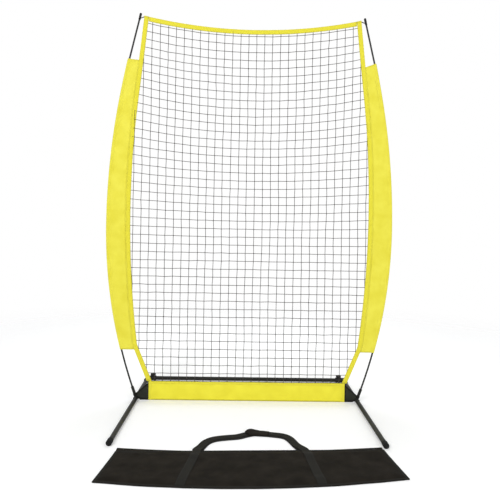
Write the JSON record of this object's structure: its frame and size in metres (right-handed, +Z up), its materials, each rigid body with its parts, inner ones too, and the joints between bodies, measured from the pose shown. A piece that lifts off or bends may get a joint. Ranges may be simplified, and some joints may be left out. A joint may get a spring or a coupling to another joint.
{
  "type": "pitching_net",
  "caption": "Free-standing pitching net: square-mesh net with bright yellow edging between two bow poles on a black steel floor base, with its carry bag lying in front",
  "frame": {"origin": "on the floor, under the middle of the whole set's box: the bag lies in front, the net's plane is behind the middle", "axes": "+X to the right seen from the front, +Y from the bag to the rear crossbar, +Z up"},
  "size_m": [1.583, 1.3873, 2.1344],
  "materials": {
    "base_paint": "black powder coat, slightly textured",
    "moulded_black": "moulded black plastic with a light sheen",
    "cap_rubber": "matt black rubber",
    "zinc": "zinc plated",
    "ferrule_steel": "dark steel sleeve",
    "glass_fibre": "dark glass fibre, smooth",
    "net_twine": "knotted black polyethylene twine",
    "yellow_webbing": "bright yellow folded webbing, matt",
    "yellow_cloth": "bright yellow coated cloth, soft sheen",
    "black_webbing": "black woven webbing",
    "bag_cloth": "black woven bag cloth",
    "zip_coil": "black nylon coil",
    "zip_metal": "black painted metal"
  },
  "bodies": {
    "frame": {"rear_crossbar": "base_paint", "leg_left": "base_paint", "leg_right": "base_paint", "pole_socket_left": "base_paint", "pole_socket_right": "base_paint", "corner_hub_left": "moulded_black", "corner_hub_right": "moulded_black", "pole_tip_left": "moulded_black", "pole_tip_right": "moulded_black", "foot_cap_left": "cap_rubber", "foot_cap_right": "cap_rubber", "clamp_nut_left": "zinc", "clamp_nut_right": "zinc", "pole_ferrule_left": "ferrule_steel", "pole_ferrule_right": "ferrule_steel", "pole_lower_left": "glass_fibre", "pole_lower_right": "glass_fibre", "pole_upper_left": "glass_fibre", "pole_upper_right": "glass_fibre", "net_mesh": "net_twine", "top_hem": "yellow_webbing", "side_binding_left": "yellow_webbing", "side_binding_right": "yellow_webbing", "bottom_band": "yellow_webbing", "tip_tie_left": "yellow_webbing", "tip_tie_right": "yellow_webbing", "side_sleeve_left": "yellow_cloth", "side_sleeve_right": "yellow_cloth", "corner_gusset_left": "black_webbing", "corner_gusset_right": "black_webbing", "corner_loop_left": "black_webbing", "corner_loop_right": "black_webbing"},
    "knob_left": {"clamp_knob_left": "moulded_black", "clamp_stud_left": "zinc"},
    "knob_right": {"clamp_knob_right": "moulded_black", "clamp_stud_right": "zinc"},
    "button_left": {"snap_button_left": "zinc", "snap_spring_left": "zinc"},
    "button_right": {"snap_button_right": "zinc", "snap_spring_right": "zinc"},
    "bag": {"bag_body": "bag_cloth", "bag_zip": "zip_coil", "bag_handle_upper": "black_webbing", "bag_handle_lower": "black_webbing", "handle_wrap": "bag_cloth"},
    "slider": {"zip_slider": "zip_metal"},
    "pull": {"zip_pull": "zip_metal"}
  },
  "joints": [
    {"name": "knob_left_turn", "type": "hinge", "parent": "frame", "child": "knob_left", "pos_m": [-0.578, 0.67777, 0.031], "axis": [0, 0, 1], "range_deg": [0, 360]},
    {"name": "knob_right_turn", "type": "hinge", "parent": "frame", "child": "knob_right", "pos_m": [0.578, 0.67777, 0.031], "axis": [0, 0, 1], "range_deg": [0, 360]},
    {"name": "button_left_press", "type": "slide", "parent": "frame", "child": "button_left", "axis": [1, 0, 0], "range_m": [0, 0.0052], "stiffness_N_per_m": 800},
    {"name": "button_right_press", "type": "slide", "parent": "frame", "child": "button_right", "axis": [-1, 0, 0], "range_m": [0, 0.0052], "stiffness_N_per_m": 800},
    {"name": "bag_lift", "type": "slide", "parent": "frame", "child": "bag", "axis": [0, 0, 1], "range_m": [0, 0.5]},
    {"name": "zip_run", "type": "slide", "parent": "bag", "child": "slider", "axis": [-0.9993, -0.0384, 0], "range_m": [0, 1.078]},
    {"name": "zip_pull_swing", "type": "hinge", "parent": "slider", "child": "pull", "pos_m": [0.54839, -0.33176, 0.0065], "axis": [0, 0, 1], "range_deg": [-180, 0]}
  ]
}
